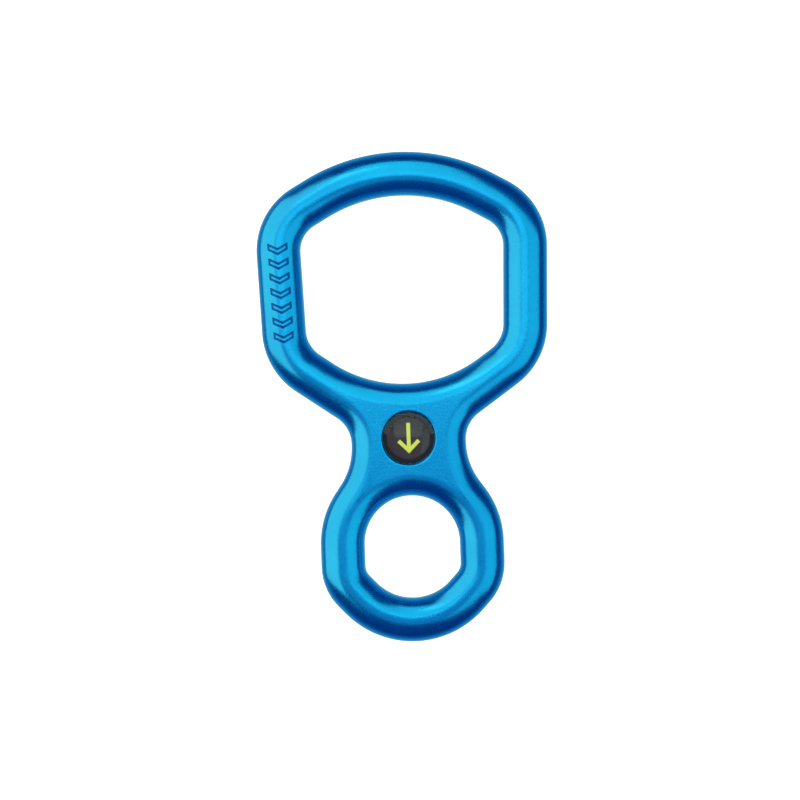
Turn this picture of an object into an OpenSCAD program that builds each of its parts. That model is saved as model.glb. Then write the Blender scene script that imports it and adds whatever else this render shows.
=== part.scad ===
// Rope descender, figure-of-eight pattern: a one-piece forged frame with a domed badge in its neck.
// Units are millimetres. It lies on its back: X is the width, Y the length with the rope ring
// at +Y, Z the thickness. The origin is at the middle of the footprint on the resting surface.

/* [Frame] */
// Overall length, outside of the rope ring to outside of the clip-in eye
body_len = 130; // [123:1:156]
// Width of the bar seen from above, the same all round both rings
bar_w = 11.7; // [9.7:0.1:13.5]
// Thickness of the bar, over its two narrow flats
bar_t = 11; // [9.1:0.1:11.2]

/* [Rope ring] */
// Clear length of the rope ring's opening
ring_open_len = 49.8; // [42:0.2:58]
// Clear width of the rope ring's opening at its widest, near the shoulders
ring_open_w = 53.8; // [46:0.2:64.6]
// How much each side leans in between the shoulder and the lower corner
side_taper = 0.7; // [0:0.1:2]
// Radius of the crown, the long curve at the top of the opening
crown_r = 39; // [26:0.5:60]
// Radius of the base, the long curve at the neck end of the opening
base_r = 33.8; // [24:0.1:50]
// Radius of the opening's two shoulders
shoulder_r = 7.7; // [5:0.1:10]
// Distance from the top of the opening down to the shoulder centres
shoulder_drop = 13.9; // [12:0.1:17]
// Radius of the opening's two lower corners
corner_r = 8.3; // [5:0.1:11]
// Distance from the bottom of the opening up to the lower corner centres
corner_rise = 15.2; // [13:0.1:18]

/* [Clip-in eye] */
// Clear length of the clip-in eye
eye_open_len = 27; // [23:0.2:31]
// Clear width of the clip-in eye, and the diameter of its round upper end
eye_open_w = 25.2; // [22:0.2:28]
// Radius of the flatter curve at the far end of the eye
eye_end_r = 13.3; // [10:0.1:20]
// Radius of the eye's two lower corners
eye_corner_r = 3.8; // [2.5:0.1:5]
// Distance from the far end of the eye up to the corner centres
eye_corner_rise = 8.8; // [7.5:0.1:10]

/* [Neck] */
// Width of the neck at its waist
waist_w = 30.4; // [26:0.2:36.6]
// Length of the short straight at the waist
waist_flat = 0.6; // [0.4:0.1:3]
// Radius of the curve from the waist out to the clip-in eye
waist_eye_r = 17.8; // [14:0.1:22]
// Radius of the curve from the waist out to the rope ring
waist_ring_r = 8.4; // [6:0.1:10.5]

/* [Badge] */
// Diameter of the badge
badge_d = 13.6; // [11:0.1:15]
// Clearance all round the badge in its pocket
badge_gap = 0.25; // [0.1:0.05:0.5]
// How far the badge sits from the middle of the web, towards the rope ring
badge_shift = 0.4; // [-2:0.1:2]
// Depth of the pocket below the flat of the frame
pocket_depth = 1.7; // [1.5:0.1:2.4]
// Width of the bright bevel round the pocket's mouth
pocket_bevel = 0.4; // [0.2:0.05:0.6]
// Thickness of the bonding disc
glue_t = 0.15; // [0.1:0.05:0.3]
// Thickness of the printed carrier film
film_t = 0.25; // [0.15:0.05:0.35]
// Thickness of the printed mark
ink_t = 0.06; // [0.05:0.01:0.1]
// Height of the resin dome at its edge
dome_edge = 0.35; // [0.25:0.05:0.5]
// Rise of the resin dome from its edge to its middle
dome_rise = 0.8; // [0.4:0.05:0.85]
// Length of the printed arrow
arrow_len = 8; // [6:0.2:9]
// Width of the printed arrow's head
arrow_w = 6; // [4.4:0.2:7]
// Stroke of the printed arrow
arrow_stroke = 1; // [0.7:0.1:1.4]

/* [Engraving] */
// Number of hollow chevrons on the left side, pointing at the clip-in eye
chevron_count = 7; // [3:1:8]
// Distance from one chevron to the next
chevron_pitch = 3.9; // [3.6:0.1:4.4]
// Width of a chevron across the bar
chevron_w = 5.2; // [3.6:0.1:5.6]
// Drop from a chevron's wing tips to its point
chevron_drop = 1.4; // [0.8:0.1:1.8]
// Length of a chevron's arm along the bar
chevron_arm = 1.7; // [1.3:0.1:2]
// Width of the engraved line
groove_w = 0.35; // [0.25:0.05:0.4]
// Depth of the engraved line below the flat
groove_depth = 0.45; // [0.3:0.05:0.6]

/* [View] */
// Which piece to show

/* [Hidden] */
$fn = 96;

// bar section: a round, cut by two flats above and below, or at the sides where the bar is narrow
bar_r = bar_w / 2;
flats_on_top = bar_t < bar_w;
round_r = max(bar_w, bar_t) / 2;
// where one length of bar runs on inside the next it is this much finer all round
hair = 0.01;
run_in = 0.25;

// levels along the length, from the far end of the eye to the crown
eye_far = -body_len / 2 + bar_w;
eye_near = eye_far + eye_open_len;
ring_far = body_len / 2 - bar_w;
ring_near = ring_far - ring_open_len;
web_mid = (eye_near + ring_near) / 2;

// largest long-curve radius that still meets a corner circle at across x, in by d, of radius r
function long_r(want, x, d, r) = min(want, 0.985 * (x * x + d * d - r * r) / (2 * (d - r)));

// circles that the two openings are drawn round: [x, y, radius]
shoulder_x = ring_open_w / 2 - shoulder_r;
corner_x = ring_open_w / 2 - side_taper - corner_r;
eye_corner_x = eye_open_w / 2 - eye_corner_r;
crown = long_r(crown_r, shoulder_x, shoulder_drop, shoulder_r);
base = long_r(base_r, corner_x, corner_rise, corner_r);
eye_end = long_r(eye_end_r, eye_corner_x, eye_corner_rise, eye_corner_r);

ring_base = [0, ring_near + base, base];
ring_corner = [corner_x, ring_near + corner_rise, corner_r];
ring_shoulder = [shoulder_x, ring_far - shoulder_drop, shoulder_r];
ring_crown = [0, ring_far - crown, crown];
eye_bottom = [0, eye_far + eye_end, eye_end];
eye_corner = [eye_corner_x, eye_far + eye_corner_rise, eye_corner_r];
eye_top = [0, eye_near - eye_open_w / 2, eye_open_w / 2];

// the neck's lower curve rests on the eye's outside, the upper one follows the straight waist
neck_x = waist_w / 2 + waist_eye_r;
neck_reach = eye_top[2] + bar_w + waist_eye_r + 0.08;
neck_y = eye_top[1] + sqrt(neck_reach * neck_reach - neck_x * neck_x);
neck_eye = [neck_x, neck_y, -waist_eye_r];
// upper waist radius, or the largest whose curve still runs clear of the ring's lower corner
clear_x = corner_x - waist_w / 2;
clear_y = ring_corner[1] - neck_y - waist_flat;
clear_r = corner_r + bar_w;
room_r = 0.97 * (clear_x * clear_x + clear_y * clear_y - clear_r * clear_r) / (2 * (clear_x + clear_r));
waist_r = min(waist_ring_r, room_r);
neck_ring = [waist_w / 2 + waist_r, neck_y + waist_flat, -waist_r];

function grown(c, by) = [c[0], c[1], c[2] + by];

// direction of the outward normal on the straight that runs from circle a to circle b
function lean(a, b) =
    let (d = [b[0] - a[0], b[1] - a[1]])
    wrap(atan2(d[1], d[0]) - acos(max(-1, min(1, (a[2] - b[2]) / norm(d)))));
// an angle brought between -180 and 180
function wrap(angle) = angle - 360 * round(angle / 360);
function spot(c, angle, by = 0) = [c[0] + (c[2] + by) * cos(angle), c[1] + (c[2] + by) * sin(angle)];

// circles of the bar's middle line on the right-hand side
mid_base = grown(ring_base, bar_r);
mid_corner = grown(ring_corner, bar_r);
mid_shoulder = grown(ring_shoulder, bar_r);
mid_crown = grown(ring_crown, bar_r);
mid_bottom = grown(eye_bottom, bar_r);
mid_eye_corner = grown(eye_corner, bar_r);
mid_eye_top = grown(eye_top, bar_r);
mid_neck_eye = grown(neck_eye, -bar_r);
mid_neck_ring = grown(neck_ring, -bar_r);

// directions where the middle line passes from a circle to a straight
lean_base = lean(mid_base, mid_corner);
lean_side = lean(mid_corner, mid_shoulder);
lean_crown = lean(mid_shoulder, mid_crown);
lean_end = lean(mid_bottom, mid_eye_corner);
lean_eye_side = lean(mid_eye_corner, mid_eye_top);
lean_root = lean(mid_eye_top, mid_neck_eye);
lean_waist = lean(mid_neck_eye, mid_neck_ring);
lean_branch = lean(mid_neck_ring, mid_corner);
// the ring's bar is whole above this direction on its lower corner
lean_join = max(lean_base, lean_branch);

function arc_points(c, from, to, by) =
    let (n = max(1, ceil(abs(to - from) / 5)))
    [for (k = [0 : n]) spot(c, from + (to - from) * k / n, by)];

// bar seen end-on: part 0 is all of it, 1 its outer half and -1 the half beside an opening;
// fine is a hair taken off all round, so that one length can run on inside the next
module bar_section(part, fine) {
    side = flats_on_top ? bar_r + 1 : bar_r - fine;
    rise = flats_on_top ? bar_t / 2 - fine : bar_t / 2 + 1;
    intersection() {
        circle(r = round_r - fine);
        translate([part > 0 ? 0 : -side, -rise])
            square([part == 0 ? 2 * side : side, 2 * rise]);
    }
}

// bar carried round a circle of the middle line between two directions
module bar_round(c, from, to, part, fine = 0) {
    hollow = c[2] < 0;
    translate([c[0], c[1], bar_t / 2])
        rotate([0, 0, hollow ? to + 180 : from])
            rotate_extrude(angle = abs(to - from))
                translate([abs(c[2]), 0])
                    mirror([hollow ? 1 : 0, 0])
                        bar_section(part, fine);
}

// bar carried along the straight between two circles of the middle line, and into both curves
module bar_straight(a, b, part) {
    heading = lean(a, b);
    p = spot(a, heading) - run_in * [-sin(heading), cos(heading)];
    q = spot(b, heading) + run_in * [-sin(heading), cos(heading)];
    translate([p[0], p[1], bar_t / 2])
        rotate([0, 0, heading + 90])
            rotate([90, 0, 90])
                linear_extrude(height = norm(q - p))
                    mirror([1, 0])
                        bar_section(part, 2 * hair);
}

// bars and rolls of the right-hand side
module side_bars() {
    bar_round(mid_corner, lean_join, lean_side, 0);
    bar_straight(mid_corner, mid_shoulder, 0);
    bar_round(mid_shoulder, lean_side, lean_crown, 0);
    bar_straight(mid_shoulder, mid_crown, 0);
    bar_straight(mid_bottom, mid_eye_corner, 0);
    bar_round(mid_eye_corner, lean_end, lean_eye_side, 0);
    bar_straight(mid_eye_corner, mid_eye_top, 0);
    bar_round(mid_eye_top, lean_eye_side, lean_root, 0);
}

// rounded outside of the neck on the right-hand side, and the ends of the rolls at the branch
module side_rolls() {
    bar_straight(mid_eye_top, mid_neck_eye, 1);
    bar_round(mid_neck_eye, lean_root, lean_waist, 1);
    bar_straight(mid_neck_eye, mid_neck_ring, 1);
    bar_round(mid_neck_ring, lean_waist, lean_branch, 1);
    bar_straight(mid_neck_ring, mid_corner, 1);
    if (lean_branch < lean_join - 0.1) bar_round(mid_corner, lean_branch, lean_join + 2, 1, hair);
    if (lean_base < lean_join - 0.1) bar_round(mid_corner, lean_base, lean_join + 2, -1, hair);
    bar_straight(mid_base, mid_corner, -1);
}

// flat middle of the neck; its sides end under the flats of the rolls
module web() {
    lap = max(0.1, sqrt(round_r * round_r - bar_t * bar_t / 4) / 2);
    side = concat(
        arc_points(mid_eye_top, 90, lean_root - 4, -lap),
        [spot(mid_eye_top, lean_root - 4, lap)],
        arc_points(mid_neck_eye, lean_root, lean_waist, lap),
        arc_points(mid_neck_ring, lean_waist, lean_branch, lap),
        [spot(mid_corner, lean_join + 4, lap), spot(mid_corner, lean_join + 4, -lap)],
        arc_points(mid_base, lean_base, -90, -lap)
    );
    linear_extrude(height = bar_t)
        polygon(concat(side, [for (i = [len(side) - 1 : -1 : 0]) [-side[i][0], side[i][1]]]));
}

// one hollow chevron, pointing at -Y
module chevron() {
    half = chevron_w / 2;
    steep = groove_w * sqrt(1 + pow(chevron_drop / half, 2));
    inner = half - groove_w;
    lift = chevron_drop * inner / half;
    difference() {
        polygon([
            [-half, chevron_drop], [-half, chevron_drop - chevron_arm], [0, -chevron_arm],
            [half, chevron_drop - chevron_arm], [half, chevron_drop], [0, 0]
        ]);
        polygon([
            [-inner, lift - steep], [-inner, lift - chevron_arm + steep], [0, steep - chevron_arm],
            [inner, lift - chevron_arm + steep], [inner, lift - steep], [0, -steep]
        ]);
    }
}

// the row of chevrons along the middle of the left side
module engraving() {
    low = grown(ring_corner, bar_w);
    high = grown(ring_shoulder, bar_w);
    heading = lean(low, high);
    mid = (spot(low, heading, -bar_r) + spot(high, heading, -bar_r)) / 2;
    mirror([1, 0, 0])
        translate([mid[0], mid[1], bar_t - groove_depth])
            rotate([0, 0, heading])
                for (i = [0 : chevron_count - 1])
                    translate([0, (i - (chevron_count - 1) / 2) * chevron_pitch, 0])
                        linear_extrude(height = groove_depth + 1)
                            chevron();
}

module pocket() {
    translate([0, web_mid + badge_shift, bar_t - pocket_depth]) {
        cylinder(d = badge_d + 2 * badge_gap, h = pocket_depth + 1);
        translate([0, 0, pocket_depth - pocket_bevel])
            cylinder(
                d1 = badge_d + 2 * badge_gap, d2 = badge_d + 2 * badge_gap + 4 * pocket_bevel,
                h = 2 * pocket_bevel
            );
    }
}

// forged and anodised frame: both rings, the neck and its web in one piece
module frame() {
    color([0.05, 0.49, 0.75])
        difference() {
            union() {
                bar_round(mid_crown, lean_crown, 180 - lean_crown, 0);
                bar_round(mid_bottom, -180 - lean_end, lean_end, 0);
                side_bars();
                mirror([1, 0, 0])
                    side_bars();
                web();
                bar_round(mid_base, -180 - lean_base, lean_base, -1);
                bar_round(mid_eye_top, lean_root - 2, 182 - lean_root, -1, hair);
                side_rolls();
                mirror([1, 0, 0])
                    side_rolls();
            }
            pocket();
            engraving();
        }
}

// puts a piece of the badge at its height above the pocket floor
module on_pocket_floor(height) {
    translate([0, web_mid + badge_shift, bar_t - pocket_depth + height])
        children();
}

module badge_adhesive() {
    color([0.86, 0.86, 0.82])
        on_pocket_floor(0)
            cylinder(d = badge_d - 0.6, h = glue_t);
}

module badge_film() {
    color([0.03, 0.035, 0.045])
        on_pocket_floor(glue_t)
            cylinder(d = badge_d, h = film_t);
}

// plain arrow pointing at the clip-in eye
module arrow() {
    half = arrow_stroke / 2;
    head = arrow_w / 2;
    slant = arrow_stroke * sqrt(2);
    tip = -arrow_len / 2;
    polygon([
        [0, tip], [head, tip + head], [head - slant / 2, tip + head + slant / 2],
        [half, tip + half + slant], [half, -tip], [-half, -tip], [-half, tip + half + slant],
        [slant / 2 - head, tip + head + slant / 2], [-head, tip + head]
    ]);
}

module badge_mark() {
    color([0.82, 0.9, 0.3])
        on_pocket_floor(glue_t + film_t)
            linear_extrude(height = ink_t)
                arrow();
}

module badge_dome() {
    dome_r = (pow(badge_d / 2, 2) + dome_rise * dome_rise) / (2 * dome_rise);
    color([0.9, 0.93, 0.95, 0.35])
        on_pocket_floor(glue_t + film_t)
            difference() {
                rotate_extrude()
                    intersection() {
                        square([badge_d / 2, dome_edge + dome_rise + 1]);
                        translate([0, dome_edge + dome_rise - dome_r])
                            circle(r = dome_r, $fn = 720);
                    }
                translate([0, 0, -1])
                    linear_extrude(height = ink_t + 1)
                        arrow();
            }
}

frame();
badge_adhesive();
badge_film();
badge_mark();
badge_dome();
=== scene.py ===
"""Looks of the rope descender: a forged, blue anodised figure-of-eight frame with a domed badge.

Laid out as an add-on and run as a script. Sizes are in metres, in the frame of the CAD model:
X is the width, Y the length with the rope ring at +Y, Z the thickness, and the badge faces +Z.
"""

from math import acos, asin, atan2, ceil, cos, pi, radians, sin, sqrt

import bmesh
import bpy
import numpy as np
from bpy.props import FloatProperty, FloatVectorProperty, IntProperty, PointerProperty
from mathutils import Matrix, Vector


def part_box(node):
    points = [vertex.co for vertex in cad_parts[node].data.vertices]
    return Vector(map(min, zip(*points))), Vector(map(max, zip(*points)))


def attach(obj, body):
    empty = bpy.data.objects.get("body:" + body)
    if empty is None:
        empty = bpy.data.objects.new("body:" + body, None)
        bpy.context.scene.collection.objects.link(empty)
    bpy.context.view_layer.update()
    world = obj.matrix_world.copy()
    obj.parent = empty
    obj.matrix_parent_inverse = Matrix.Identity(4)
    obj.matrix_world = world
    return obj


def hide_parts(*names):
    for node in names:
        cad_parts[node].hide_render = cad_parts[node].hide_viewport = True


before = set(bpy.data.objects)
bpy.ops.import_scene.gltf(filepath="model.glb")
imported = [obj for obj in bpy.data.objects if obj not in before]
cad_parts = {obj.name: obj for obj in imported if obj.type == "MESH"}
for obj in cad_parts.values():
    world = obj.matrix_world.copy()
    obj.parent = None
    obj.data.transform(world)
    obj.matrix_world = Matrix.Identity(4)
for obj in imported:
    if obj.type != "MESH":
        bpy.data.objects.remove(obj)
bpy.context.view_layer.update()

bl_info = {
    "name": "Rope Descender",
    "version": (1, 0, 0),
    "blender": (4, 5, 0),
    "location": "View3D > Sidebar > Descender",
    "description": "Builds a forged figure-of-eight rope descender with its badge",
    "category": "Object",
}

FRAME_LOW, FRAME_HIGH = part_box("frame")
GLUE_LOW, GLUE_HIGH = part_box("badge_adhesive")
FILM_LOW, FILM_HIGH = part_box("badge_film")
MARK_LOW, MARK_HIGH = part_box("badge_mark")
DOME_LOW, DOME_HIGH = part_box("badge_dome")
MM = 0.001

WELD = 1e-6  # points closer than this become one
SAME_POINT = 1e-7  # steps along a middle line shorter than this are left out
SECTION_POWER = 2.15  # power of the bar's section: 2 is an ellipse, and a higher one is squarer
NECK_RELIEF = 0.08 * MM  # how far the neck's lower curve stands off the eye's outside
LONG_SHARE = 0.985  # share of the largest long radius that still meets the corner circles
WEB_ROWS = 25  # rows of the flat skins between the neck's edges and the pocket
WEB_EVEN = 0.3  # how far the web's lines are shifted from their own bearings to even spacing
DISC_SIDES = 160  # points round each of the badge's round pieces
FLOOR_FILLET = 0.15 * MM  # radius between the pocket's floor and its wall
GLUE_EDGE, FILM_EDGE, MARK_EDGE, DOME_EDGE = 0.03 * MM, 0.05 * MM, 0.02 * MM, 0.06 * MM
BRIM_FALL = 0.05  # slope of the dome's brim towards its rim
FLOOR_REACH = 4.0  # half the side of the floor
VIEW_WIDTH = 212.2 * MM  # what the camera sees across, at the middle of the thickness
CAMERA_X, CAMERA_Y, CAMERA_TURN = -1.91 * MM, -0.86 * MM, -2.05
LENS, SENSOR = 180.0, 36.0

# name, bearing and tilt in degrees, distance and size in metres, radiance in red, green, blue, shape
SOFTBOXES = (
    ("overhead", 88, 30, 0.60, (0.32, 0.70), (0.72, 0.96, 0.80), "RECTANGLE"),
    ("zenith", -120, 8, 0.70, (0.44, 0.44), (0.26, 0.26, 0.30), "ELLIPSE"),
    ("left", 162, 58, 0.70, (1.16, 1.18), (2.10, 1.10, 0.82), "RECTANGLE"),
    ("right", -12, 41, 0.70, (0.70, 0.72), (0.50, 0.80, 0.70), "RECTANGLE"),
)
# colour of the surroundings against height, from straight down at nought to straight up at one
SURROUND = (
    (0.03, (0.48, 0.62, 0.68)), (0.12, (0.22, 0.46, 0.60)), (0.26, (0.06, 0.38, 0.58)),
    (0.40, (0.02, 0.16, 0.36)), (0.54, (0.01, 0.06, 0.22)), (1.0, (0.02, 0.08, 0.26)),
)


def length(name, text, value):
    """A distance that a user would change."""
    return FloatProperty(name=name, description=text, default=value, min=0.0, unit="LENGTH",
                         precision=5)


def colour(name, text, value):
    """A linear colour that a user would change."""
    return FloatVectorProperty(name=name, description=text, default=value, subtype="COLOR",
                               min=0.0, max=1.0)


class DescenderFrameSizes(bpy.types.PropertyGroup):
    """Sizes of the forged frame."""
    bar: length("Bar width", "Width of the bar seen from above", 11.7 * MM)
    ring_length: length("Ring length", "Clear length of the rope ring", 49.8 * MM)
    ring_taper: length("Ring taper", "How far each side leans in towards the neck", 0.7 * MM)
    crown: length("Crown radius", "Radius of the long curve at the top of the ring", 39.0 * MM)
    base: length("Base radius", "Radius of the long curve at the neck end of the ring", 33.8 * MM)
    shoulder: length("Shoulder radius", "Radius of the ring's two shoulders", 7.7 * MM)
    shoulder_drop: length("Shoulder drop", "Top of the opening to the shoulder centres", 13.9 * MM)
    corner: length("Corner radius", "Radius of the ring's two lower corners", 8.3 * MM)
    corner_rise: length("Corner rise", "Bottom of the opening to the corner centres", 15.2 * MM)
    eye_length: length("Eye length", "Clear length of the clip-in eye", 27.0 * MM)
    eye_width: length("Eye width", "Clear width of the clip-in eye", 25.2 * MM)
    eye_end: length("Eye end radius", "Radius of the flatter curve at the far end", 13.3 * MM)
    eye_corner: length("Eye corner radius", "Radius of the eye's two lower corners", 3.8 * MM)
    eye_corner_rise: length("Eye corner rise", "Far end of the eye to the corner centres", 8.8 * MM)
    waist: length("Waist width", "Width of the neck at its waist", 30.4 * MM)
    waist_flat: length("Waist straight", "Length of the short straight at the waist", 0.6 * MM)
    waist_eye: length("Waist to eye radius", "Curve from the waist out to the eye", 17.8 * MM)
    waist_ring: length("Waist to ring radius", "Curve from the waist out to the ring", 8.4 * MM)
    step: length("Surface step", "Distance from one row of the surface to the next", 0.9 * MM)


class DescenderPocketSizes(bpy.types.PropertyGroup):
    """Sizes of the badge pocket and of the engraving."""
    gap: length("Badge clearance", "Clearance round the badge in its pocket", 0.25 * MM)
    bevel: length("Pocket bevel", "Width of the bevel round the pocket's mouth", 0.4 * MM)
    chevrons: IntProperty(name="Chevrons", description="Number of engraved chevrons",
                          default=7, min=1, max=8)
    pitch: length("Chevron pitch", "Distance from one chevron to the next", 3.9 * MM)
    wide: length("Chevron width", "Width of a chevron across the bar", 5.2 * MM)
    drop: length("Chevron drop", "From the wing tips down to the point", 1.4 * MM)
    arm: length("Chevron arm", "Length of an arm along the bar", 1.7 * MM)
    groove: length("Groove width", "Width of the engraved line", 0.40 * MM)
    depth: length("Groove depth", "Depth of the engraved line", 0.26 * MM)
    fine_step: length("Engraving step", "Distance between rows where the bar is engraved", 0.11 * MM)


class DescenderBadgeSizes(bpy.types.PropertyGroup):
    """Sizes of the badge's printed arrow and of its dome."""
    stroke: length("Arrow stroke", "Width of the printed arrow's lines", 1.0 * MM)
    # painted reflection: radius of the grey disc painted on the film for the dome's reflection of a lamp
    field: length("Grey field", "Radius of the film's printed grey field", 5.45 * MM)
    flat: FloatProperty(name="Dome crown", description="Share of the radius under the shallow crown",
                        default=0.80, min=0.3, max=0.95)
    swell: length("Crown radius", "Radius of the dome's shallow crown", 33.0 * MM)
    bead: length("Crown bead", "Width of the rounded step at the edge of the crown", 0.36 * MM)
    brim: length("Dome brim", "Height of the low brim round the crown", 0.24 * MM)
    sink: length("Dome seating", "How far the resin reaches into the film", 0.02 * MM)


class DescenderColours(bpy.types.PropertyGroup):
    """Colours of the finishes."""
    anodised: colour("Anodised blue", "Dyed oxide over bare aluminium", (0.004, 0.50, 0.83))
    anodised_deep: colour("Deep blue", "Where the dye is thicker", (0.002, 0.40, 0.76))
    # painted shade: darker blue laid on the engraved lines' floors for the shade that falls in them
    groove: colour("Engraved line", "Floor of the engraved line", (0.0, 0.12, 0.38))
    film: colour("Film black", "Printed ground of the badge", (0.006, 0.006, 0.007))
    # painted reflection: grey of the disc painted on the film for the dome's reflection of a lamp
    film_painted_reflection: colour("Film grey", "Field of the printed film", (0.04, 0.04, 0.043))
    mark: colour("Mark lime", "Printed arrow", (0.74, 1.0, 0.115))
    glue: colour("Bonding disc", "Acrylic foam under the badge", (0.62, 0.62, 0.58))


# ---------------------------------------------------------------- outline of the frame


def lean(a, b):
    """Direction of the outward normal on the straight from circle a to circle b, each [x, y, radius]:
    the bearing from centre to centre less the arc cosine of the radii's difference over the distance."""
    dx, dy = b[0] - a[0], b[1] - a[1]
    turned = atan2(dy, dx) - acos(max(-1.0, min(1.0, (a[2] - b[2]) / sqrt(dx * dx + dy * dy))))
    return turned - 2 * pi * round(turned / (2 * pi))


def flipped(circle):
    """The circle's mirror image on the left-hand side."""
    return (-circle[0], circle[1], circle[2])


def long_radius(want, across, inward, small):
    """The wanted long radius, or the largest that still meets a corner circle of radius small."""
    largest = (across**2 + inward**2 - small**2) / (2 * (inward - small))
    return min(want, LONG_SHARE * largest)


class Outline:
    """Circles that the bar's middle line is drawn round, with the directions where it leaves them."""

    def __init__(self, sizes):
        half_bar = sizes.bar / 2
        ring_far, eye_far = FRAME_HIGH.y - sizes.bar, FRAME_LOW.y + sizes.bar
        ring_near, eye_near = ring_far - sizes.ring_length, eye_far + sizes.eye_length
        ring_half = FRAME_HIGH.x - sizes.bar
        shoulder_x, corner_x = ring_half - sizes.shoulder, ring_half - sizes.ring_taper - sizes.corner
        eye_corner_x = sizes.eye_width / 2 - sizes.eye_corner
        crown = long_radius(sizes.crown, shoulder_x, sizes.shoulder_drop, sizes.shoulder)
        base = long_radius(sizes.base, corner_x, sizes.corner_rise, sizes.corner)
        end = long_radius(sizes.eye_end, eye_corner_x, sizes.eye_corner_rise, sizes.eye_corner)
        self.half_bar = half_bar
        self.crown = (0.0, ring_far - crown, crown + half_bar)
        self.shoulder = (shoulder_x, ring_far - sizes.shoulder_drop, sizes.shoulder + half_bar)
        self.corner = (corner_x, ring_near + sizes.corner_rise, sizes.corner + half_bar)
        self.base = (0.0, ring_near + base, base + half_bar)
        self.eye_end = (0.0, eye_far + end, end + half_bar)
        self.eye_corner = (eye_corner_x, eye_far + sizes.eye_corner_rise, sizes.eye_corner + half_bar)
        self.eye_top = (0.0, eye_near - sizes.eye_width / 2, sizes.eye_width / 2 + half_bar)
        reach = sizes.eye_width / 2 + sizes.bar + sizes.waist_eye + NECK_RELIEF
        neck_x = sizes.waist / 2 + sizes.waist_eye
        neck_y = self.eye_top[1] + sqrt(reach**2 - neck_x**2)
        self.neck_eye = (neck_x, neck_y, -sizes.waist_eye - half_bar)
        self.neck_ring = (sizes.waist / 2 + sizes.waist_ring, neck_y + sizes.waist_flat,
                          -sizes.waist_ring - half_bar)
        self.at_base, self.at_side = lean(self.base, self.corner), lean(self.corner, self.shoulder)
        self.at_crown = lean(self.shoulder, self.crown)
        self.at_end = lean(self.eye_end, self.eye_corner)
        self.at_eye_side = lean(self.eye_corner, self.eye_top)
        self.at_root = lean(self.eye_top, self.neck_eye)
        self.at_waist = lean(self.neck_eye, self.neck_ring)
        self.at_branch = lean(self.neck_ring, self.corner)

    def ring(self):
        """Arcs of the rope ring's free part, anticlockwise from the fork on the right."""
        half = [(self.base, self.at_base, self.at_base), (self.corner, self.at_base, self.at_side),
                (self.shoulder, self.at_side, self.at_crown)]
        return half + [(self.crown, self.at_crown, pi - self.at_crown)] + mirrored(half)

    def eye(self):
        """Arcs of the clip-in eye's free part, anticlockwise from the root on the left."""
        half = [(self.eye_corner, self.at_end, self.at_eye_side),
                (self.eye_top, self.at_eye_side, self.at_root)]
        return mirrored(half) + [(self.eye_end, -pi - self.at_end, self.at_end)] + half

    def neck(self):
        """Arcs of the neck's right-hand side, from the eye's root to the fork."""
        return [(self.eye_top, self.at_root, self.at_root), (self.neck_eye, self.at_root, self.at_waist),
                (self.neck_ring, self.at_waist, self.at_branch), (self.base, self.at_base, self.at_base)]

    def ring_base(self):
        """Arc of the rope ring's edge at the neck, from the left fork to the right."""
        return [(self.base, -pi - self.at_base, self.at_base)]

    def eye_crest(self):
        """Arc of the eye's edge at the neck, from the right root to the left."""
        return [(self.eye_top, self.at_root, pi - self.at_root)]


def mirrored(arcs):
    """The same arcs on the other side of the length, in the opposite order."""
    return [(flipped(circle), pi - end, pi - start) for circle, start, end in reversed(arcs)]


def path_along(arcs, step):
    """Middle line through the arcs and the straights between them: points, outward normals.
    On an arc the point is the centre plus the radius times the normal; a straight keeps its normal."""
    points, normals = [], []
    for circle, start, end in arcs:
        count = max(1, ceil(abs(circle[2] * (end - start)) / step))
        turns = np.linspace(start, end, count + 1)
        normal = np.stack([np.cos(turns), np.sin(turns)], axis=1)
        point = np.array(circle[:2]) + circle[2] * normal
        if points:
            last = points[-1][-1]
            count = max(1, ceil(np.linalg.norm(point[0] - last) / step))
            share = np.linspace(0, 1, count + 1)[1:-1, None]
            points.append(last + share * (point[0] - last))
            normals.append(np.repeat(normal[:1], len(share), axis=0))
        points.append(point)
        normals.append(normal)
    points, normals = np.concatenate(points), np.concatenate(normals)
    keep = np.append(True, np.linalg.norm(np.diff(points, axis=0), axis=1) > SAME_POINT)
    return points[keep], normals[keep]


# ---------------------------------------------------------------- surfaces


def grid_faces(rows, columns, round_columns, base):
    """Four-sided faces of a grid of rows by columns whose points are numbered row by row."""
    i = np.arange(rows - 1)[:, None]
    j = np.arange(columns if round_columns else columns - 1)[None, :]
    j_next = (j + 1) % columns
    corners = [i * columns + j, i * columns + j_next, (i + 1) * columns + j_next, (i + 1) * columns + j]
    return np.stack(corners, axis=-1).reshape(-1, 4) + base


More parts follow.
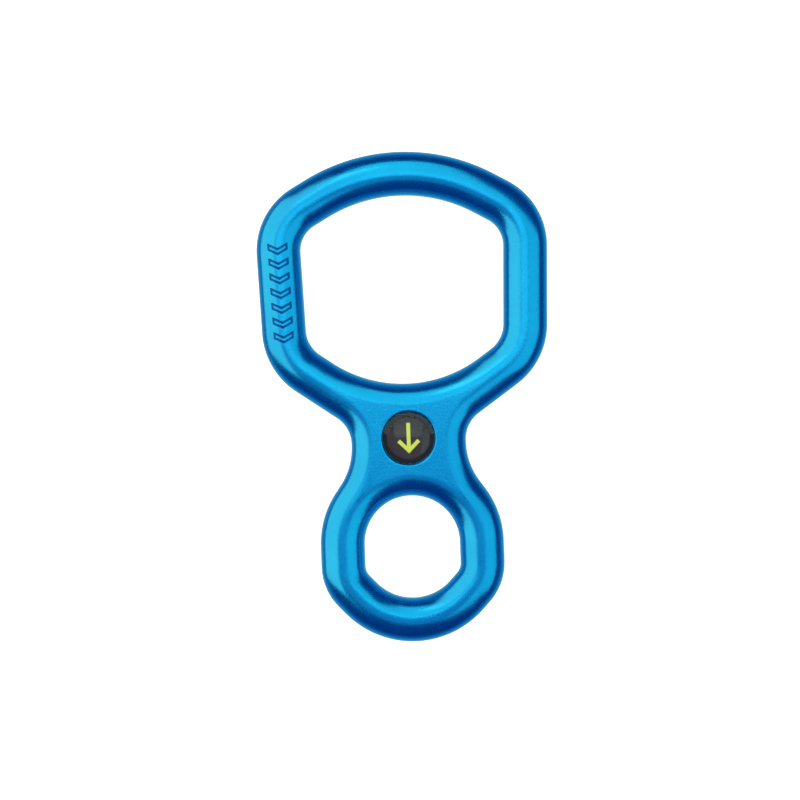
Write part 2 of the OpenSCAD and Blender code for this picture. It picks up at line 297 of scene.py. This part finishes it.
def piece_from(name, grids, crease=40.0, **marks):
    """Object made of grids of points that share their edges: (grid, round_columns) pairs are joined
    into one closed skin, with its doubles merged, its faces outward and its edges creased by angle."""
    points, faces, count = [], [], 0
    for grid, round_columns in grids:
        rows, columns = grid.shape[:2]
        faces.append(grid_faces(rows, columns, round_columns, count))
        points.append(grid.reshape(-1, 3))
        count += rows * columns
    points, faces = np.concatenate(points), np.concatenate(faces)
    mesh = bpy.data.meshes.new(name)
    mesh.vertices.add(count)
    mesh.vertices.foreach_set("co", points.astype(np.float32).ravel())
    mesh.loops.add(faces.size)
    mesh.loops.foreach_set("vertex_index", faces.astype(np.int32).ravel())
    mesh.polygons.add(len(faces))
    mesh.polygons.foreach_set("loop_start", np.arange(0, faces.size, 4, dtype=np.int32))
    for mark, values in marks.items():
        layer = mesh.attributes.new(mark, "FLOAT", "POINT")
        layer.data.foreach_set("value", values.astype(np.float32))
    mesh.update(calc_edges=True)
    skin = bmesh.new()
    skin.from_mesh(mesh)
    bmesh.ops.remove_doubles(skin, verts=skin.verts, dist=WELD)
    loose = [vert for vert in skin.verts if not vert.link_faces]
    bmesh.ops.delete(skin, geom=loose, context="VERTS")
    bmesh.ops.recalc_face_normals(skin, faces=skin.faces)
    open_edges = sum(not edge.is_manifold for edge in skin.edges)
    if open_edges:
        raise RuntimeError(f"{name} has {open_edges} open edges")
    skin.to_mesh(mesh)
    skin.free()
    mesh.polygons.foreach_set("use_smooth", np.ones(len(mesh.polygons), bool))
    mesh.set_sharp_from_angle(angle=radians(crease))
    piece = bpy.data.objects.new(name, mesh)
    bpy.context.scene.collection.objects.link(piece)
    return piece


def turned(profile, centre, angles):
    """Surface of revolution: each [radius, height] of the profile carried round the upright axis."""
    profile = np.asarray(profile, float)
    x = centre[0] + profile[:, :1] * np.cos(angles)
    y = centre[1] + profile[:, :1] * np.sin(angles)
    return np.stack([x, y, np.repeat(profile[:, 1:], len(angles), axis=1)], axis=-1)


def rounded(centre, radius, start, end, count):
    """Points of an arc in a profile, from one angle in degrees to another."""
    t = np.radians(np.linspace(start, end, count))
    return np.stack([centre[0] + radius * np.cos(t), centre[1] + radius * np.sin(t)], axis=1)


def section_angles(start, end):
    """Angles round the bar's section between two bearings in degrees, closest together over its flats."""
    parts = [(-90, -60, 8), (-60, 60, 24), (60, 120, 56), (120, 240, 24), (240, 270, 8)]
    spans = [np.linspace(low, high, count + 1)[:-1] for low, high, count in parts]
    whole, slack = np.concatenate([*spans, [270.0]]), 1e-6
    return np.radians(whole[(whole > start - slack) & (whole < end + slack)])


def squared_up(value):
    """The value to the power of two over the section's power, with its sign kept."""
    return np.sign(value) * np.abs(value) ** (2 / SECTION_POWER)


def sweep(points, normals, angles, half_wide):
    """The bar's squared-up oval section carried along a middle line: sideways it reaches half its width
    times the cosine, and upwards half its thickness times the sine, of the angle round the section,
    each raised to a power just under one."""
    middle, half_thick = (FRAME_LOW.z + FRAME_HIGH.z) / 2, (FRAME_HIGH.z - FRAME_LOW.z) / 2
    grid = np.empty((len(points), len(angles), 3))
    aside = half_wide * squared_up(np.cos(angles))
    grid[..., :2] = points[:, None] + aside[None, :, None] * normals[:, None]
    grid[..., 2] = middle + half_thick * squared_up(np.sin(angles))
    return grid


def blend_step(value, edge, soft):
    """One below the edge and nought above it, with a smooth change over the soft width."""
    t = np.clip((edge - value) / soft + 0.5, 0, 1)
    return t * t * (3 - 2 * t)


# ---------------------------------------------------------------- the frame


def chevron_line(across, along, sizes):
    """How deep each point lies in the engraved line, nought to one. A chevron is a closed band: two
    slanting lines, one arm apart, joined by upright ends; the row repeats it along the bar."""
    reach = (sizes.chevrons * sizes.pitch) / 2
    inside = np.abs(along) < reach
    place = np.mod(along + reach, sizes.pitch) - sizes.pitch / 2
    half, slope = sizes.wide / 2, 2 * sizes.drop / sizes.wide
    height = place - (sizes.drop - sizes.arm) / 2 - slope * np.abs(across) + sizes.drop / 2
    steep = sqrt(1 + slope * slope)
    x, half_arm = np.abs(across), sizes.arm / 2
    outer = np.maximum(x - half, (np.abs(height) - half_arm) / steep)
    line = np.abs(outer + sizes.groove / 2) - sizes.groove / 2
    return np.where(inside, blend_step(line, 0.0, sizes.groove / 3), 0.0)


def engrave(grid, outline, sizes):
    """Sinks the chevrons into the top of the left side's bar and returns the mark at every point."""
    low, high = outline.corner, outline.shoulder
    normal = np.array([cos(outline.at_side), sin(outline.at_side)])
    middle = (np.array(low[:2]) + low[2] * normal + np.array(high[:2]) + high[2] * normal) / 2
    middle, normal = middle * [-1, 1], normal * [-1, 1]
    heading = np.array([normal[1], -normal[0]])
    offset = grid[..., :2] - middle
    across, along = offset @ normal, offset @ heading
    on_top = (grid[..., 2] > FRAME_HIGH.z * 0.75) & (np.abs(across) < outline.half_bar)
    mark = np.where(on_top, chevron_line(across, along, sizes), 0.0)
    grid[..., 2] -= sizes.depth * mark
    return mark


def thinned(points, normals, keep_fine, every):
    """Keeps all rows where keep_fine holds and one in so many elsewhere, with both ends."""
    index = np.arange(len(points))
    keep = keep_fine | (index % every == 0) | (index == len(points) - 1)
    return points[keep], normals[keep]


def web_patch(loop, centre, inner, level):
    """Flat skin between a closed outer loop and an inner circle: every line across it is divided
    evenly. A line meets the circle at its own bearing, shifted a little towards even spacing."""
    away = loop - centre
    bearing = np.unwrap(np.arctan2(away[:, 1], away[:, 0]))
    step = np.linalg.norm(np.roll(loop, -1, axis=0) - loop, axis=1)
    steady = bearing[0] + 2 * pi * (np.cumsum(step) - step) / step.sum()
    steady += np.mean(bearing - steady)
    bearing = (1 - WEB_EVEN) * bearing + WEB_EVEN * steady
    start = centre + inner * np.stack([np.cos(bearing), np.sin(bearing)], axis=1)
    share = np.linspace(0, 1, WEB_ROWS)[:, None, None]
    grid = np.full((WEB_ROWS, len(loop), 3), float(level))
    grid[..., :2] = start + share * (loop - start)
    return grid, bearing


def badge_centre():
    """Middle of the badge, from the CAD film's corners."""
    return np.array([(FILM_LOW.x + FILM_HIGH.x) / 2, (FILM_LOW.y + FILM_HIGH.y) / 2])


class DescenderFrame(bpy.types.Operator):
    """Makes the forged frame: two looped bars, the neck with its web, the badge pocket, the engraving"""
    bl_idname = "descender.frame"
    bl_label = "Frame"

    def execute(self, context):
        sizes, pocket = context.scene.descender_frame, context.scene.descender_pocket
        outline, half = Outline(sizes), sizes.bar / 2
        every = max(1, round(sizes.step / pocket.fine_step))
        points, normals = path_along(outline.ring(), pocket.fine_step)
        reach = (pocket.chevrons + 1) * pocket.pitch / 2
        side_y = (outline.corner[1] + outline.shoulder[1]) / 2
        engraved = (points[:, 0] < 0) & (np.abs(points[:, 1] - side_y) < reach)
        points, normals = thinned(points, normals, engraved, every)
        ring = sweep(points, normals, section_angles(-90, 269), half)
        ring_mark = engrave(ring, outline, pocket)

        outer, opening = section_angles(-90, 90), section_angles(90, 270)
        eye = sweep(*path_along(outline.eye(), sizes.step), section_angles(-90, 269), half)
        right_points, right_normals = path_along(outline.neck(), sizes.step)
        flip = np.array([-1, 1])
        right = sweep(right_points, right_normals, outer, half)
        left_points = right_points * flip
        left = sweep(left_points, right_normals * flip, outer, half)
        base_points, base_normals = path_along(outline.ring_base(), sizes.step)
        crest_points, crest_normals = path_along(outline.eye_crest(), sizes.step)
        base = sweep(base_points, base_normals, opening, half)
        crest = sweep(crest_points, crest_normals, opening, half)

        loop = np.concatenate([right_points[:-1], base_points[:0:-1], left_points[:0:-1],
                               crest_points[:0:-1]])
        centre, top = badge_centre(), FRAME_HIGH.z
        wall = (FILM_HIGH.x - FILM_LOW.x) / 2 + pocket.gap
        mouth = wall + pocket.bevel
        upper, bearing = web_patch(loop, centre, mouth, top)
        lower, _ = web_patch(loop, centre, 0.0, FRAME_LOW.z)
        floor, inside = GLUE_LOW.z, wall - FLOOR_FILLET
        profile = [[0, floor], [wall * 0.5, floor], [inside, floor]]
        profile += rounded([inside, floor + FLOOR_FILLET], FLOOR_FILLET, -90, 0, 5).tolist()
        profile += rounded([mouth, top - pocket.bevel], pocket.bevel, 180, 90, 9).tolist()
        hole = turned(profile, centre, bearing)

        skins = [(ring, True), (eye, True), (right, False), (left, False), (base, False),
                 (crest, False), (upper, True), (lower, True), (hole, True)]
        total = sum(grid.shape[0] * grid.shape[1] for grid, _ in skins)
        mark = np.zeros(total)
        # the engraving mark goes on as the groove attribute, which paints shade on the engraved lines
        mark[:ring_mark.size] = ring_mark.ravel()
        piece = piece_from("forged_frame", skins, groove=mark)
        piece.data.materials.append(anodised_finish(context.scene.descender_colours))
        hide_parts("frame")
        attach(piece, "root")
        return {"FINISHED"}


# ---------------------------------------------------------------- the badge


def plate_from_outline(corners, spine, low, high, inset):
    """Thin plate of a many-cornered outline: two rings of its wall, and a top and bottom that close on
    the middle lines of its strokes, with the top edge drawn in by a hair so that it catches light."""
    drawn_in = corners + np.sign(spine - corners) * inset
    rings = [(spine, low), (corners, low), (corners, high - inset), (drawn_in, high), (spine, high)]
    return np.stack([np.column_stack([ring, np.full(len(ring), z)]) for ring, z in rings])


def arrow_outline(centre, size, head, stroke):
    """Corners of an open arrow that points at -Y, a shaft and a head of two bars at right angles, and
    for each corner the point beside it on the middle line of its stroke."""
    half, wing, slant, tip = stroke / 2, head / 2, stroke * sqrt(2), -size / 2
    fork, end = (0, tip + slant / 2), (wing - slant / 4, tip + wing + slant / 4)
    right = np.array([(0, tip), (wing, tip + wing), (wing - slant / 2, tip + wing + slant / 2),
                      (half, tip + half + slant), (half, -tip)])
    middle = np.array([fork, end, end, fork, (0, -tip - half)])
    mirrored_half = [side[:0:-1] * [-1, 1] for side in (right, middle)]
    return (np.concatenate([right, mirrored_half[0]]) + centre,
            np.concatenate([middle, mirrored_half[1]]) + centre)


class DescenderBadge(bpy.types.Operator):
    """Makes the badge in its pocket: bonding disc, printed film, printed arrow and resin dome"""
    bl_idname = "descender.badge"
    bl_label = "Badge"

    def execute(self, context):
        sizes, colours = context.scene.descender_badge, context.scene.descender_colours
        centre = badge_centre()
        angles = np.linspace(0, 2 * pi, DISC_SIDES, endpoint=False)

        def disc(name, low, high, edge, finish, node):
            """A round plate: flat faces, an upright wall and a small quarter round at the top edge."""
            radius = (high.x - low.x) / 2
            profile = [[0, low.z], [radius - edge, low.z], [radius, low.z + edge],
                       [radius, high.z - edge]]
            profile += rounded([radius - edge, high.z - edge], edge, 15, 90, 5).tolist()
            profile += [[radius * share, high.z] for share in (0.7, 0.4, 0.0)]
            piece = piece_from(name, [(turned(profile, centre, angles), True)])
            finish_piece(piece, finish, node)

        disc("bonding_disc", GLUE_LOW, GLUE_HIGH, GLUE_EDGE, foam_finish(colours),
             "badge_adhesive")
        disc("printed_film", FILM_LOW, FILM_HIGH, FILM_EDGE, film_finish(colours, sizes.field),
             "badge_film")

        size, head = MARK_HIGH.y - MARK_LOW.y, MARK_HIGH.x - MARK_LOW.x
        corners, spine = arrow_outline(centre, size, head, sizes.stroke)
        bottom = MARK_LOW.z - sizes.sink
        plate = plate_from_outline(corners, spine, bottom, MARK_HIGH.z, MARK_EDGE)
        mark = piece_from("printed_arrow", [(plate, True)])
        finish_piece(mark, ink_finish(colours), "badge_mark")

        radius, low, top = (DOME_HIGH.x - DOME_LOW.x) / 2, DOME_LOW.z - sizes.sink, DOME_HIGH.z
        flat, swell = radius * sizes.flat, sizes.swell
        far = flat * np.linspace(0, 1, 32)
        crown = np.stack([far, top - swell + np.sqrt(swell**2 - far**2)], axis=1)
        t, start = np.linspace(0, 1, 20), asin(flat / swell)
        brim, bead = low + sizes.brim, sizes.bead
        fall = crown[-1, 1] - brim
        shoulder = np.stack([flat + bead * np.sin(start + t * (pi / 2 - start)) - bead * sin(start),
                             brim + fall * np.cos(t * pi / 2)], axis=1)
        run = radius - DOME_EDGE - shoulder[-1, 0]
        flange = np.stack([shoulder[-1, 0] + run * t, brim - BRIM_FALL * run * t], axis=1)
        rim = [[radius, flange[-1, 1] - DOME_EDGE], [radius, low + FILM_EDGE],
               [radius - FILM_EDGE, low], [radius * 0.5, low], [0, low]]
        profile = np.concatenate([crown, shoulder[1:], flange[1:], rim])
        dome = piece_from("resin_dome", [(turned(profile, centre, angles), True)])
        finish_piece(dome, resin_finish(), "badge_dome")
        return {"FINISHED"}


def finish_piece(piece, material, node):
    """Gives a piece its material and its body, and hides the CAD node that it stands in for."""
    piece.data.materials.append(material)
    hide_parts(node)
    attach(piece, "root")


# ---------------------------------------------------------------- finishes


class Finish:
    """A node material under construction: the Principled shader, its output and object coordinates."""

    def __init__(self, name):
        self.material = bpy.data.materials.new(name)
        self.material.use_nodes = True
        self.tree = self.material.node_tree
        self.shader = self.tree.nodes["Principled BSDF"]
        self.place = self.tree.nodes.new("ShaderNodeTexCoord").outputs["Object"]

    def node(self, kind, sockets=None, **settings):
        """Adds a node, sets its properties, and sets or links its inputs by name or number."""
        node = self.tree.nodes.new(kind)
        for key, value in settings.items():
            setattr(node, key, value)
        for key, value in (sockets or {}).items():
            self.feed(node.inputs[key], value)
        return node

    def feed(self, socket, value):
        """Links an output to an input, or sets the input's value."""
        if isinstance(value, bpy.types.NodeSocket):
            self.tree.links.new(value, socket)
        elif hasattr(socket.default_value, "__len__") and len(socket.default_value) == 4:
            socket.default_value = (*value[:3], 1.0)
        else:
            socket.default_value = value

    def set(self, **values):
        """Sets or links the shader's inputs, whose names are written with underscores."""
        for key, value in values.items():
            self.feed(self.shader.inputs[key.replace("_", " ")], value)

    def noise(self, grain, detail=3.0):
        """Noise whose blotches are about one grain across, in metres."""
        return self.node("ShaderNodeTexNoise", {
            "Vector": self.place, "Scale": 1.0 / grain, "Detail": detail, "Roughness": 0.55,
        }).outputs["Fac"]

    def between(self, value, low, high, start=0.3, end=0.7):
        """Value from start to end mapped on to low to high, held at the ends."""
        return self.node("ShaderNodeMapRange", {
            "Value": value, "From Min": start, "From Max": end, "To Min": low, "To Max": high,
        }).outputs["Result"]

    def mix(self, share, one, other):
        """Colour between one and other."""
        node = self.node("ShaderNodeMix", data_type="RGBA")
        self.feed(node.inputs[0], share)
        self.feed(node.inputs[6], one)
        self.feed(node.inputs[7], other)
        return node.outputs[2]

    def bump(self, height, depth, normal=None):
        """Bump of a depth in metres, on top of another where one is given."""
        sockets = {"Height": height, "Distance": depth, "Strength": 1.0}
        if normal is not None:
            sockets["Normal"] = normal
        return self.node("ShaderNodeBump", sockets).outputs["Normal"]


def anodised_finish(colours):
    """Blue anodised aluminium: satin metal under a thin clear oxide, with forging waves, a fine
    blasted grain, slow drift of the dye, and painted shade: the engraved lines' floors are a darker blue
    for the shade in them."""
    finish = Finish("anodised_blue_with_painted_groove_shade")
    drift, grain = finish.noise(22 * MM, 2.0), finish.noise(0.55 * MM, 2.0)
    fine = finish.noise(0.3 * MM, 1.0)
    dye = finish.mix(finish.between(drift, 0.0, 1.0), colours.anodised, colours.anodised_deep)
    speckle = finish.mix(finish.between(grain, 0.0, 0.45), dye, colours.anodised_deep)
    # painted shade: the groove mark darkens the engraved lines towards the groove colour
    groove = finish.node("ShaderNodeAttribute", attribute_name="groove").outputs["Fac"]
    clouds = finish.between(finish.noise(3.5 * MM), 0.19, 0.25)
    rough = finish.node("ShaderNodeMath", {0: clouds, 1: finish.between(fine, -0.03, 0.05)},
                        operation="ADD").outputs[0]
    waves = finish.bump(finish.noise(11 * MM, 1.0), 0.04 * MM)
    blasted = finish.bump(grain, 0.016 * MM, normal=waves)
    normal = finish.bump(fine, 0.006 * MM, normal=blasted)
    finish.set(Base_Color=finish.mix(groove, speckle, colours.groove), Metallic=1.0, Roughness=rough,
               Normal=normal, Coat_Weight=0.25, Coat_Roughness=0.15, Coat_IOR=1.5)
    return finish.material


def film_finish(colours, field):
    """Printed black film, satin under the resin, with faint dust, and a painted reflection: a dark grey
    disc in its middle stands for the dome's reflection of a lamp, inside a black border.
    """
    finish = Finish("printed_black_with_painted_reflection")
    dust = finish.noise(0.3 * MM, 2.0)
    # painted reflection: grey inside the field's radius from the badge's middle, black outside it
    middle = (*badge_centre(), FILM_HIGH.z)
    reach = finish.node("ShaderNodeVectorMath", {0: finish.place, 1: middle}, operation="DISTANCE")
    soft = 0.06 * MM
    border = finish.between(reach.outputs["Value"], 0.0, 1.0, field - soft, field + soft)
    grey = finish.mix(finish.between(dust, 0.0, 0.5), colours.film_painted_reflection, (0.055, 0.055, 0.058))
    finish.set(Base_Color=finish.mix(border, grey, colours.film),
               Roughness=finish.between(finish.noise(1.5 * MM), 0.42, 0.55), Specular_IOR_Level=0.1,
               Normal=finish.bump(dust, 0.003 * MM))
    return finish.material


def ink_finish(colours):
    """Lime fluorescent screen ink: a nearly even colour with a soft tooth, and a painted glow: a weak
    emission in the ink's own colour, standing for its fluorescence.
    """
    finish = Finish("printed_lime_painted_glow")
    tone = finish.between(finish.noise(1.2 * MM, 2.0), 0.0, 0.35)
    lime = finish.mix(tone, colours.mark, tuple(0.82 * part for part in colours.mark))
    # painted glow: the ink emits a little of its own colour, standing for its fluorescence
    finish.set(Base_Color=lime, Roughness=finish.between(finish.noise(0.4 * MM), 0.35, 0.5),
               Normal=finish.bump(finish.noise(0.12 * MM, 1.0), 0.004 * MM),
               Emission_Color=lime, Emission_Strength=0.16)
    return finish.material


def foam_finish(colours):
    """Acrylic foam tape: dull and finely pored."""
    finish = Finish("bonding_foam")
    pores = finish.noise(0.15 * MM, 3.0)
    deep = tuple(0.7 * part for part in colours.glue)
    finish.set(Base_Color=finish.mix(finish.between(pores, 0.0, 0.6), colours.glue, deep),
               Roughness=finish.between(pores, 0.7, 0.9), Normal=finish.bump(pores, 0.02 * MM))
    return finish.material


def resin_finish():
    """Clear poured resin: glass that lets lamps through, with a slow wave left by the pour."""
    finish = Finish("clear_dome")
    wave = finish.bump(finish.noise(5 * MM, 1.0), 0.012 * MM)
    finish.set(Base_Color=(1.0, 1.0, 1.0), Roughness=finish.between(finish.noise(2 * MM), 0.02, 0.05),
               Transmission_Weight=1.0, IOR=1.5, Normal=wave)
    tree = finish.tree
    through = finish.node("ShaderNodeBsdfTransparent")
    rays = finish.node("ShaderNodeLightPath").outputs["Is Shadow Ray"]
    both = finish.node("ShaderNodeMixShader", {0: rays})
    tree.links.new(finish.shader.outputs[0], both.inputs[1])
    tree.links.new(through.outputs[0], both.inputs[2])
    tree.links.new(both.outputs[0], tree.nodes["Material Output"].inputs["Surface"])
    return finish.material


# ---------------------------------------------------------------- stage


def softbox(name, bearing, tilt, distance, size, radiance, shape):
    """Area light that faces the object from a bearing round the upright axis and a tilt from it.
    Its power is pi times its area times the radiance asked for."""
    lamp = bpy.data.lights.new(name, "AREA")
    lamp.shape, lamp.size, lamp.size_y = shape, size[0], size[1]
    area = size[0] * size[1] * (pi / 4 if shape == "ELLIPSE" else 1)
    peak = max(radiance)
    lamp.color, lamp.energy = [part / peak for part in radiance], pi * area * peak
    bearing, tilt = radians(bearing), radians(tilt)
    where = Vector((sin(tilt) * cos(bearing), sin(tilt) * sin(bearing), cos(tilt))) * distance
    light = bpy.data.objects.new(name, lamp)
    light.location = where
    light.rotation_euler = where.to_track_quat("Z", "Y").to_euler()
    light.visible_camera = False
    bpy.context.scene.collection.objects.link(light)


def studio_surround():
    """World of the studio: dim blue above, and paler towards the light table straight down."""
    world = bpy.data.worlds.new("studio")
    world.use_nodes = True
    tree = world.node_tree
    direction = tree.nodes.new("ShaderNodeTexCoord").outputs["Generated"]
    parts = tree.nodes.new("ShaderNodeSeparateXYZ")
    ramp = tree.nodes.new("ShaderNodeValToRGB")
    shift = tree.nodes.new("ShaderNodeMapRange")
    shift.inputs["From Min"].default_value, shift.inputs["From Max"].default_value = -1.0, 1.0
    for _ in SURROUND[2:]:
        ramp.color_ramp.elements.new(0.5)
    for element, (place, shade) in zip(ramp.color_ramp.elements, SURROUND):
        element.position, element.color = place, (*shade, 1.0)
    tree.links.new(direction, parts.inputs["Vector"])
    tree.links.new(parts.outputs["Z"], shift.inputs["Value"])
    tree.links.new(shift.outputs["Result"], ramp.inputs["Fac"])
    tree.links.new(ramp.outputs["Color"], tree.nodes["Background"].inputs["Color"])
    return world


class DescenderStage(bpy.types.Operator):
    """Makes the pale floor, the studio lights, the world and the camera above"""
    bl_idname = "descender.stage"
    bl_label = "Stage"

    def execute(self, context):
        scene = context.scene
        ends = [-FLOOR_REACH, FLOOR_REACH]
        grid = np.stack(np.meshgrid(ends, ends), axis=-1)
        points = np.column_stack([grid.reshape(-1, 2), np.full(4, FRAME_LOW.z - 0.02 * MM)])
        mesh = bpy.data.meshes.new("floor")
        mesh.from_pydata(points.tolist(), [], [(0, 1, 3, 2)])
        floor = bpy.data.objects.new("floor", mesh)
        scene.collection.objects.link(floor)
        paper = Finish("light_table")
        fibre = paper.between(paper.noise(4 * MM), 0.0, 1.0)
        paper.set(Base_Color=paper.mix(fibre, (0.88, 0.88, 0.88), (0.9, 0.9, 0.9)),
                  Roughness=0.8, Emission_Color=(1.0, 1.0, 1.0), Emission_Strength=0.95)
        mesh.materials.append(paper.material)
        floor.visible_glossy = floor.visible_shadow = False

        for lamp in SOFTBOXES:
            softbox(*lamp)
        scene.world = studio_surround()
        scene.view_settings.view_transform = "Standard"

        camera_data = bpy.data.cameras.new("camera")
        camera_data.lens, camera_data.sensor_width = LENS, SENSOR
        camera_data.clip_start, camera_data.clip_end = 0.01, 20.0
        camera = bpy.data.objects.new("camera", camera_data)
        middle = (FRAME_LOW.z + FRAME_HIGH.z) / 2
        camera.location = (CAMERA_X, CAMERA_Y, middle + VIEW_WIDTH * LENS / SENSOR)
        camera.rotation_euler = (0.0, 0.0, radians(CAMERA_TURN))
        scene.collection.objects.link(camera)
        scene.camera = camera
        return {"FINISHED"}


# ---------------------------------------------------------------- panel and run


class DescenderPanel(bpy.types.Panel):
    """Sidebar panel with the sizes, the colours and a button for each piece"""
    bl_idname = "VIEW3D_PT_descender"
    bl_label = "Rope Descender"
    bl_space_type = "VIEW_3D"
    bl_region_type = "UI"
    bl_category = "Descender"

    def draw(self, context):
        for name, group in GROUPS.items():
            box = self.layout.box()
            values = getattr(context.scene, name)
            for key in group.__annotations__:
                box.prop(values, key)
        for operator in OPERATORS:
            self.layout.operator(operator.bl_idname)


GROUPS = {
    "descender_frame": DescenderFrameSizes,
    "descender_pocket": DescenderPocketSizes,
    "descender_badge": DescenderBadgeSizes,
    "descender_colours": DescenderColours,
}
OPERATORS = (DescenderStage, DescenderFrame, DescenderBadge)


def register():
    for cls in (*GROUPS.values(), *OPERATORS, DescenderPanel):
        bpy.utils.register_class(cls)
    for name, group in GROUPS.items():
        setattr(bpy.types.Scene, name, PointerProperty(type=group))


def unregister():
    for name in GROUPS:
        delattr(bpy.types.Scene, name)
    for cls in (DescenderPanel, *reversed(OPERATORS), *reversed(GROUPS.values())):
        bpy.utils.unregister_class(cls)


def main():
    """Builds everything in order."""
    register()
    bpy.ops.descender.stage()
    bpy.ops.descender.frame()
    bpy.ops.descender.badge()


if __name__ == "__main__":
    main()
